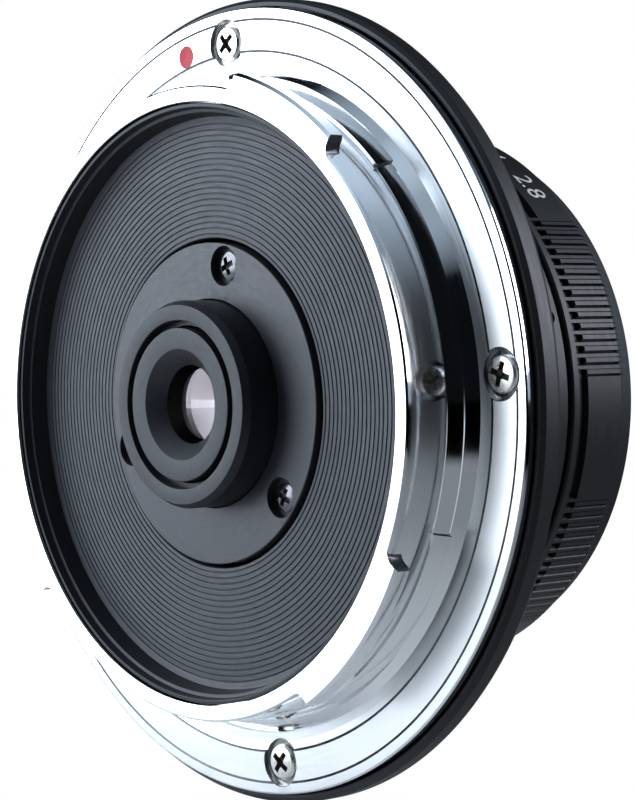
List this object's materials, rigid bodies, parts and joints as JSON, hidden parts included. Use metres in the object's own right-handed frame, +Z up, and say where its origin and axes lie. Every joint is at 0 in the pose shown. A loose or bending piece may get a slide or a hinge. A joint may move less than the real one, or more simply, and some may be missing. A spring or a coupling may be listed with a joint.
{
  "type": "prime camera lens",
  "caption": "Compact manual prime lens: chromed bayonet on a wide black base, turning focus and aperture rings, sliding optics and a closing leaf iris.",
  "frame": {"origin": "centre of the flange seat, on the optical axis, where the camera holds the lens", "axes": "+Y along the optical axis to the rear, towards the camera; +Z up and -X right as seen from the rear in the picture"},
  "size_m": [0.0692, 0.0321, 0.0692],
  "materials": {
    "chrome": "polished and satin chromed brass",
    "screw_nickel": "nickel-plated steel",
    "red_enamel": "red enamel",
    "brass": "turned brass",
    "steel": "plain steel",
    "black_anodised": "satin black anodised",
    "baffle_black": "matt black anodised, finely turned",
    "screw_black": "blackened steel",
    "blade_black": "blackened thin spring steel",
    "glass": "polished, coated"
  },
  "bodies": {
    "mount_body": {"bayonet_mount": "chrome", "mount_screw_1": "screw_nickel", "mount_screw_2": "screw_nickel", "mount_screw_3": "screw_nickel", "mount_screw_4": "screw_nickel", "index_dot": "red_enamel", "mount_shim": "brass", "base_barrel": "black_anodised", "focus_stop_pin": "steel", "rear_baffle": "baffle_black", "guide_key_1": "steel", "guide_key_2": "steel"},
    "focus_control": {"focus_ring": "black_anodised", "focus_helicoid": "brass", "focus_set_screw_1": "steel", "focus_set_screw_2": "steel", "focus_set_screw_3": "steel"},
    "lens_unit": {"lens_barrel": "black_anodised", "index_ring": "black_anodised", "index_set_screw_1": "steel", "index_set_screw_2": "steel", "index_set_screw_3": "steel", "filter_ring": "black_anodised", "name_ring": "black_anodised", "iris_housing": "black_anodised", "iris_cover": "black_anodised", "front_cell": "black_anodised", "second_element": "glass", "front_spacer": "baffle_black", "front_element": "glass", "front_retainer": "baffle_black", "rear_barrel": "black_anodised", "third_element": "glass", "third_retainer": "baffle_black", "rear_element": "glass", "rear_retaining_ring": "black_anodised", "rear_plate": "black_anodised", "rear_plate_screw_1": "screw_black", "rear_plate_screw_2": "screw_black", "rear_plate_screw_3": "screw_black"},
    "aperture_control": {"aperture_ring": "black_anodised", "aperture_lever": "steel", "iris_actuator": "steel"},
    "blade_1": {"iris_blade_1": "blade_black"},
    "blade_2": {"iris_blade_2": "blade_black"},
    "blade_3": {"iris_blade_3": "blade_black"},
    "blade_4": {"iris_blade_4": "blade_black"},
    "blade_5": {"iris_blade_5": "blade_black"},
    "blade_6": {"iris_blade_6": "blade_black"}
  },
  "joints": [
    {"name": "focus_turn", "type": "hinge", "parent": "mount_body", "child": "focus_control", "pos_m": [0, 0, 0], "axis": [0, 1, 0], "range_deg": [0, 100]},
    {"name": "lens_travel", "type": "slide", "parent": "mount_body", "child": "lens_unit", "axis": [0, -1, 0], "range_m": [0, 0.0027]},
    {"name": "aperture_turn", "type": "hinge", "parent": "lens_unit", "child": "aperture_control", "pos_m": [0, 0, 0], "axis": [0, 1, 0], "range_deg": [-60, 0]},
    {"name": "blade_1_swing", "type": "hinge", "parent": "lens_unit", "child": "blade_1", "pos_m": [-0.009, -0.012, 0], "axis": [0, 1, 0], "range_deg": [0, 21]},
    {"name": "blade_2_swing", "type": "hinge", "parent": "lens_unit", "child": "blade_2", "pos_m": [-0.0045, -0.012, 0.00779], "axis": [0, 1, 0], "range_deg": [0, 21]},
    {"name": "blade_3_swing", "type": "hinge", "parent": "lens_unit", "child": "blade_3", "pos_m": [0.0045, -0.012, 0.00779], "axis": [0, 1, 0], "range_deg": [0, 21]},
    {"name": "blade_4_swing", "type": "hinge", "parent": "lens_unit", "child": "blade_4", "pos_m": [0.009, -0.012, 0], "axis": [0, 1, 0], "range_deg": [0, 21]},
    {"name": "blade_5_swing", "type": "hinge", "parent": "lens_unit", "child": "blade_5", "pos_m": [0.0045, -0.012, -0.00779], "axis": [0, 1, 0], "range_deg": [0, 21]},
    {"name": "blade_6_swing", "type": "hinge", "parent": "lens_unit", "child": "blade_6", "pos_m": [-0.0045, -0.012, -0.00779], "axis": [0, 1, 0], "range_deg": [0, 21]}
  ],
  "couplings": [
    {"joint": "lens_travel", "follows": "focus_turn", "m_per_rad": 0.001547},
    {"joint": "blade_1_swing", "follows": "aperture_turn", "ratio": -0.35},
    {"joint": "blade_2_swing", "follows": "aperture_turn", "ratio": -0.35},
    {"joint": "blade_3_swing", "follows": "aperture_turn", "ratio": -0.35},
    {"joint": "blade_4_swing", "follows": "aperture_turn", "ratio": -0.35},
    {"joint": "blade_5_swing", "follows": "aperture_turn", "ratio": -0.35},
    {"joint": "blade_6_swing", "follows": "aperture_turn", "ratio": -0.35}
  ]
}
